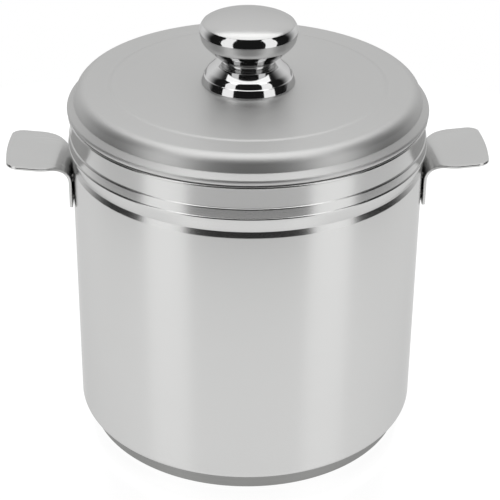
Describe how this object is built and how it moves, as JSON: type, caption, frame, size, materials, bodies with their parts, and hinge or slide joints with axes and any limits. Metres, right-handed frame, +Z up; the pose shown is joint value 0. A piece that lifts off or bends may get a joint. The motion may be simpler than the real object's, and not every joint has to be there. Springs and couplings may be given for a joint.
{
  "type": "soup kettle",
  "caption": "Round stainless steel soup kettle with a sealed flat base, two bent strip side handles and a lift-off lid with a mushroom knob.",
  "frame": {"origin": "middle of the underside, on the surface the kettle stands on", "axes": "+Z up along the axis of the pot, X through the two handles, -Y towards the front"},
  "size_m": [0.3288, 0.2446, 0.3024],
  "materials": {
    "satin_steel": "satin stainless steel",
    "base_steel": "fine turned satin",
    "polished_steel": "mirror polished stainless steel",
    "aluminium": "plain",
    "weld_steel": "plain",
    "fastener_steel": "plain stainless fastener"
  },
  "bodies": {
    "pot": {"pot_body": "satin_steel", "base_core": "aluminium", "base_cap": "base_steel", "left_handle": "satin_steel", "right_handle": "satin_steel", "left_handle_welds": "weld_steel", "right_handle_welds": "weld_steel"},
    "lid": {"lid_shell": "satin_steel", "knob_bell": "polished_steel", "knob_bowl": "polished_steel", "knob_cap": "polished_steel", "knob_insert": "fastener_steel", "knob_screw": "fastener_steel", "flat_washer": "fastener_steel", "spring_washer": "fastener_steel"}
  },
  "joints": [
    {"name": "lid_lift", "type": "slide", "parent": "pot", "child": "lid", "axis": [0, 0, 1], "range_m": [0, 0.15]}
  ]
}
